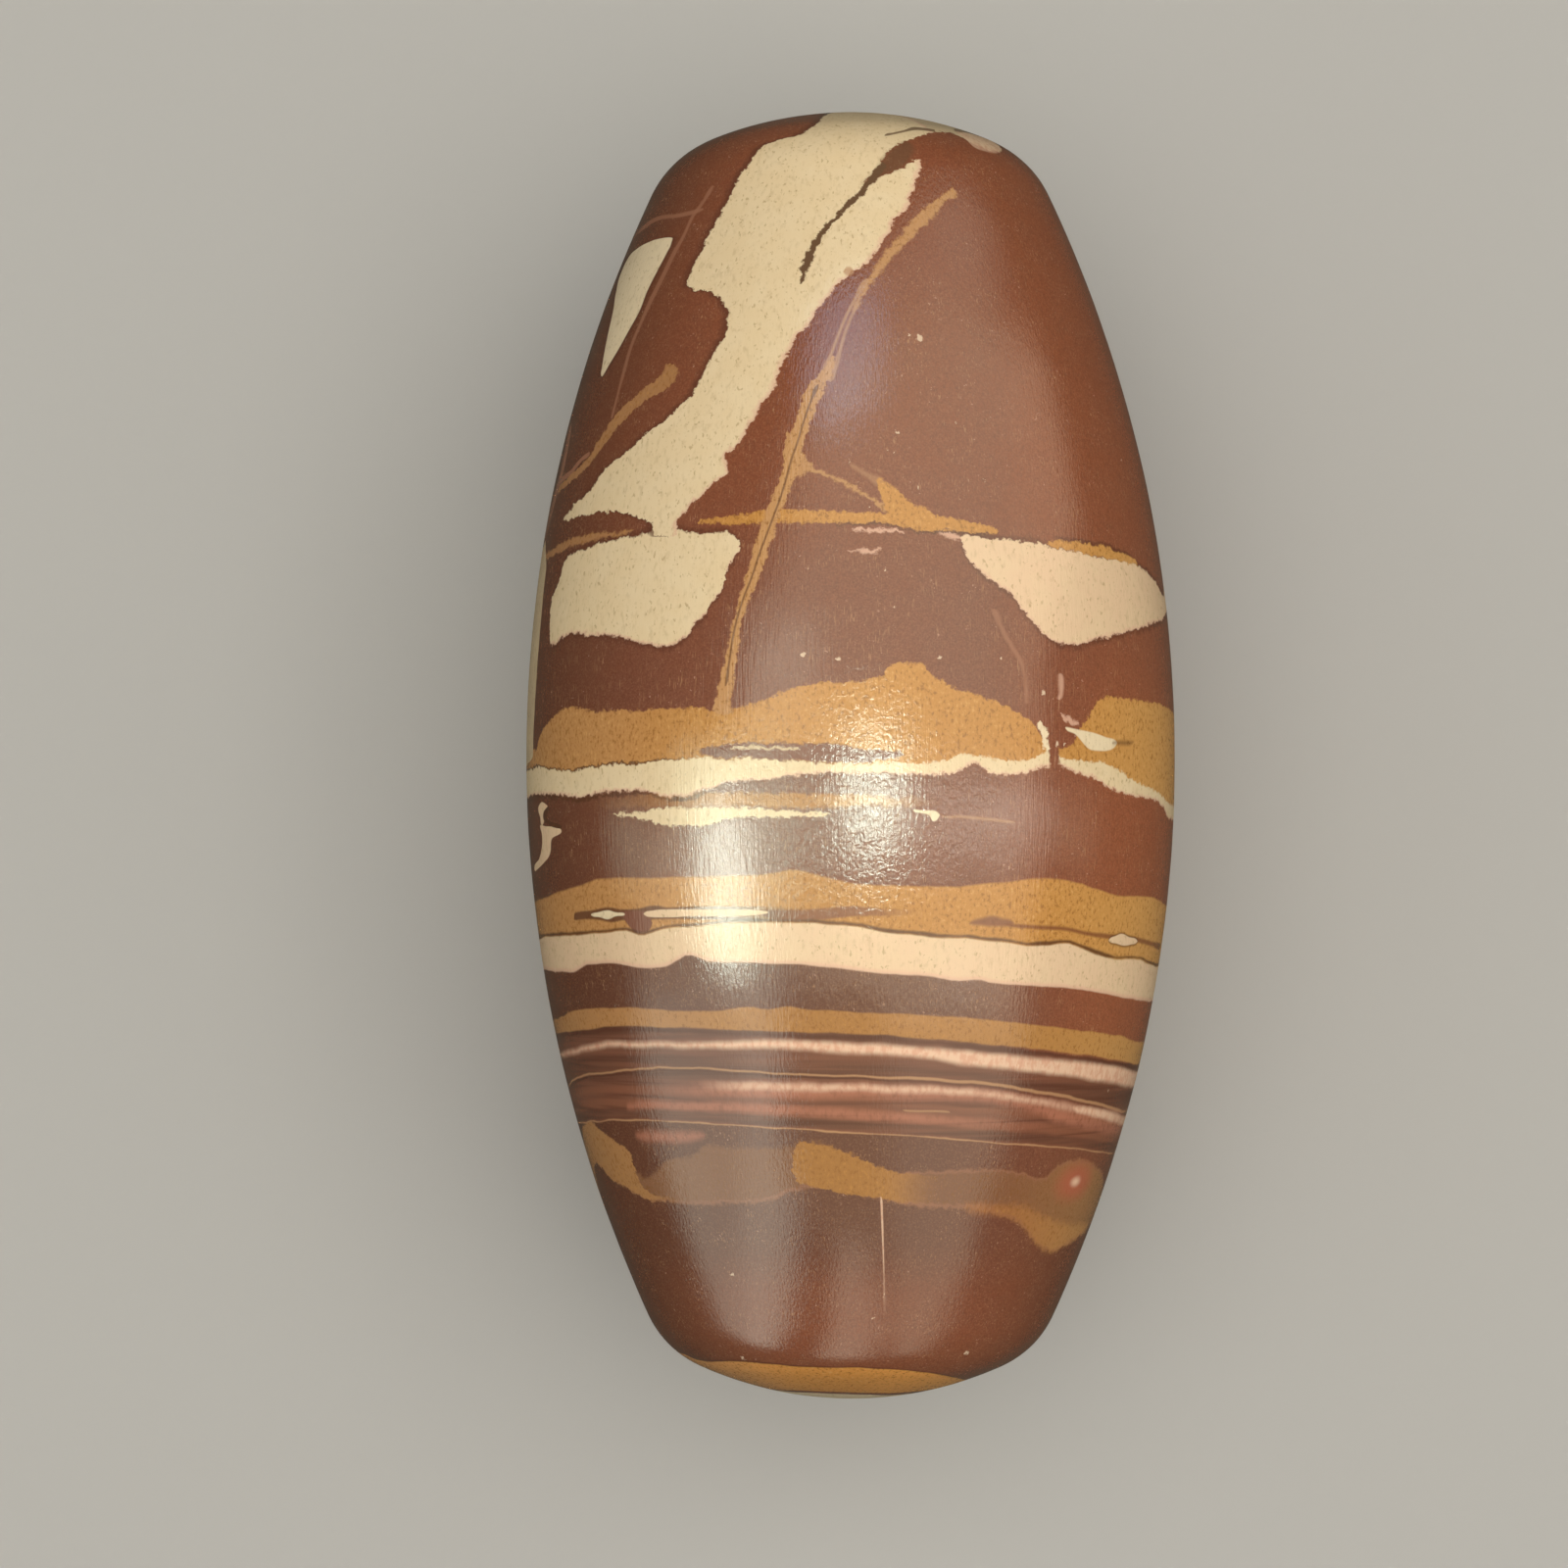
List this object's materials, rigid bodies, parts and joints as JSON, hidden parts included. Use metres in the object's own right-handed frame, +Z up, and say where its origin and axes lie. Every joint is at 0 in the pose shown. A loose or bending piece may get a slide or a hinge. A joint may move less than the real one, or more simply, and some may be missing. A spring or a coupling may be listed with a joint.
{
  "type": "shiva lingam stone",
  "caption": "Polished barrel-shaped banded jasper stone with domed ends, lying on a small flat ground into its underside.",
  "frame": {"origin": "middle of the small flat on the underside, under the middle of the belly", "axes": "+Y along the stone's long axis, +Z up out of the surface that it lies on, +X across it"},
  "size_m": [0.0506, 0.1, 0.0493],
  "materials": {
    "polished_jasper": "polished by hand: glossy purple-brown jasper with cream, ochre and pink bands"
  },
  "bodies": {
    "root": {"lingam_stone": "polished_jasper"}
  },
  "joints": []
}
